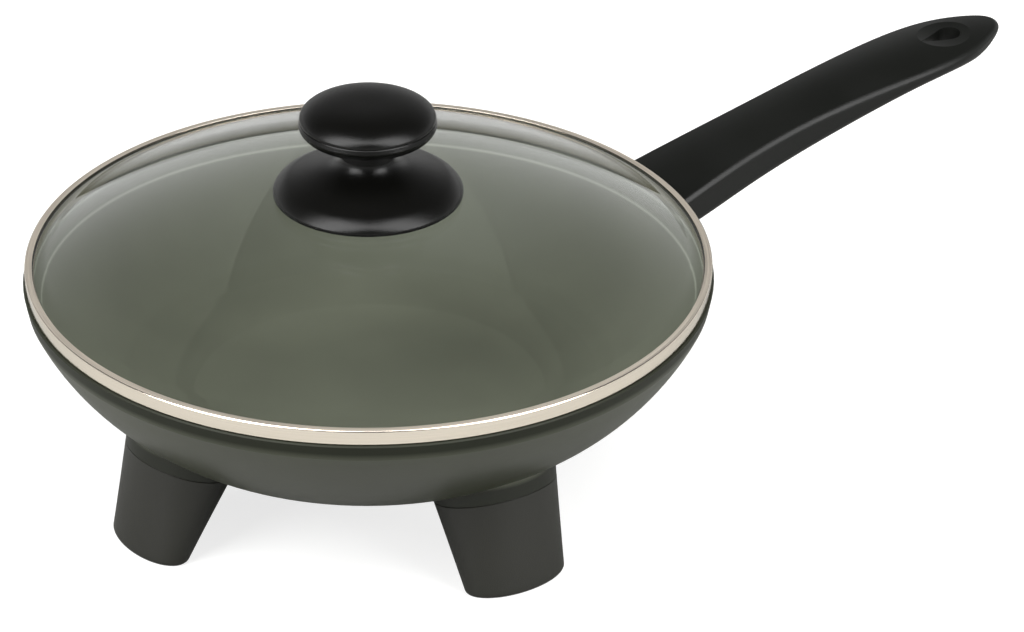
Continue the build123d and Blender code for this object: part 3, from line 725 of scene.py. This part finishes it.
class SKILLET_OT_stage(bpy.types.Operator):
    """Lays the floor and sets the room, the lamps and the camera"""

    bl_idname = "skillet.stage"
    bl_label = "Studio"

    def execute(self, context):
        studio, view = context.scene.skillet_studio, context.scene.skillet_view
        self.lay_floor(studio)
        context.scene.world = self.make_room(studio, view)
        self.set_lamps(studio, view)
        context.scene.camera = self.set_camera(view)
        context.scene.view_settings.view_transform = "Standard"
        return {"FINISHED"}

    def lay_floor(self, studio):
        bpy.ops.object.select_all(action="DESELECT")
        bpy.ops.mesh.primitive_plane_add(size=studio.floor_size, location=(0, 0, 0))
        floor = bpy.context.object
        floor.name = "floor"
        material, tree, _ = new_material("matt_white_floor")
        inputs = {
            0: seen(tree, mirrored=True), MIX_FIRST: (*studio.bounce, 1), MIX_SECOND: (*studio.floor, 1),
        }
        tone = add_node(tree, "ShaderNodeMix", inputs, data_type="RGBA")
        paint = add_node(tree, "ShaderNodeBsdfDiffuse", {"Color": tone})
        inputs = {0: seen(tree, mirrored=False), 1: studio.lift}
        lift = add_node(tree, "ShaderNodeMath", inputs, operation="MULTIPLY")
        glow = add_node(tree, "ShaderNodeEmission", {"Strength": lift})
        both = add_node(tree, "ShaderNodeAddShader", {0: paint, 1: glow})
        add_node(tree, "ShaderNodeOutputMaterial", {"Surface": both})
        floor.data.materials.append(material)

    def make_room(self, studio, view):
        """A room that darkens from the horizon up and is brighter at the skillet's sides than behind it."""
        world = bpy.data.worlds.new("studio_room")
        world.use_nodes = True
        tree = world.node_tree
        tree.nodes.clear()
        way = add_node(tree, "ShaderNodeTexCoord").outputs["Generated"]
        height = add_node(tree, "ShaderNodeSeparateXYZ", {"Vector": way}).outputs["Z"]
        low = add_node(tree, "ShaderNodeMath", {0: 1.0, 1: height}, operation="SUBTRACT", use_clamp=True)
        low = add_node(tree, "ShaderNodeMath", {0: low, 1: studio.falloff}, operation="POWER")
        right = (math.cos(view.azimuth), math.sin(view.azimuth), 0)
        aside = add_node(tree, "ShaderNodeVectorMath", {0: way, 1: right}, operation="DOT_PRODUCT")
        aside = add_node(tree, "ShaderNodeMath", {0: aside}, operation="ABSOLUTE")
        inputs = {"Value": aside, "To Min": studio.middle, "To Max": studio.sides}
        brightness = add_node(tree, "ShaderNodeMapRange", inputs)
        light = add_node(tree, "ShaderNodeMath", {0: low, 1: brightness}, operation="MULTIPLY")
        tone = (*studio.ceiling, 1)
        for share, other in ((light, studio.horizon), (seen(tree, mirrored=False), studio.backdrop)):
            inputs = {0: share, MIX_FIRST: tone, MIX_SECOND: (*other, 1)}
            tone = add_node(tree, "ShaderNodeMix", inputs, data_type="RGBA")
        back = add_node(tree, "ShaderNodeBackground", {"Color": tone})
        add_node(tree, "ShaderNodeOutputWorld", {"Surface": back})
        return world

    def set_lamps(self, studio, view):
        """Two tall panels that light all but the glass, which would mirror them as white sheets."""
        screened = bpy.data.collections.new("screened_from_lamps")
        screened.objects.link(bpy.data.objects["domed_glass"])
        screened.collection_objects[0].light_linking.link_state = "EXCLUDE"
        for name, power, turn, width in [
            ("key_lamp", studio.key, -studio.lamp_turn, studio.key_width),
            ("fill_lamp", studio.fill, studio.lamp_turn, studio.fill_width),
        ]:
            place = studio.lamp_distance * self.heading(view.azimuth + turn, studio.lamp_rise)
            aim = place.to_track_quat("Z", "Y").to_euler()
            bpy.ops.object.light_add(type="AREA", location=place, rotation=aim)
            lamp = bpy.context.object
            lamp.name = name
            lamp.data.energy = power
            lamp.data.shape = "RECTANGLE"
            lamp.data.size = width
            lamp.data.size_y = studio.lamp_height
            lamp.light_linking.receiver_collection = screened

    def heading(self, azimuth, elevation):
        """The direction from the table to what stands at an azimuth and an elevation."""
        return Vector((math.sin(azimuth) * math.cos(elevation), -math.cos(azimuth) * math.cos(elevation),
                       math.sin(elevation)))

    def set_camera(self, view):
        middle = Vector((0, 0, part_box("lid_rim_band")[1].z))
        place = middle + view.distance * self.heading(view.azimuth, view.elevation)
        heading = Matrix.Rotation(view.azimuth - view.pan, 3, "Z")
        tilt = Matrix.Rotation(math.pi / 2 - view.tilt, 3, "X")
        roll = Matrix.Rotation(view.roll, 3, "Z")
        bpy.ops.object.camera_add(location=place, rotation=(heading @ tilt @ roll).to_euler())
        camera = bpy.context.object
        camera.name = "studio_camera"
        camera.data.lens = view.lens
        camera.data.sensor_width = SENSOR_WIDTH
        camera.data.clip_end = CLIP_END
        return camera


class SKILLET_PT_panel(bpy.types.Panel):
    """Lists the skillet's operators and values"""

    bl_idname = "SKILLET_PT_panel"
    bl_label = "Skillet"
    bl_space_type = "VIEW_3D"
    bl_region_type = "UI"
    bl_category = "Skillet"

    def draw(self, context):
        column = self.layout.column()
        for operator in OPERATORS:
            column.operator(operator.bl_idname)
        for group in GROUPS.values():
            values = getattr(context.scene, group)
            for name in values.__annotations__:
                column.prop(values, name)


GROUPS = {
    SkilletFinishes: "skillet_finishes",
    SkilletPan: "skillet_pan",
    SkilletGlass: "skillet_glass",
    SkilletBand: "skillet_band",
    SkilletSkirt: "skillet_skirt",
    SkilletCap: "skillet_cap",
    SkilletView: "skillet_view",
    SkilletStudio: "skillet_studio",
}
OPERATORS = [
    SKILLET_OT_pan,
    SKILLET_OT_terminals,
    SKILLET_OT_legs,
    SKILLET_OT_handle,
    SKILLET_OT_glass,
    SKILLET_OT_band,
    SKILLET_OT_knob,
    SKILLET_OT_fasteners,
    SKILLET_OT_stage,
]


def register():
    for kind in [*GROUPS, *OPERATORS, SKILLET_PT_panel]:
        bpy.utils.register_class(kind)
    for kind, name in GROUPS.items():
        setattr(bpy.types.Scene, name, PointerProperty(type=kind))


def unregister():
    for name in GROUPS.values():
        delattr(bpy.types.Scene, name)
    for kind in reversed([*GROUPS, *OPERATORS, SKILLET_PT_panel]):
        bpy.utils.unregister_class(kind)


def main():
    register()
    for operator in OPERATORS:
        group, name = operator.bl_idname.split(".")
        getattr(getattr(bpy.ops, group), name)()


if __name__ == "__main__":
    main()
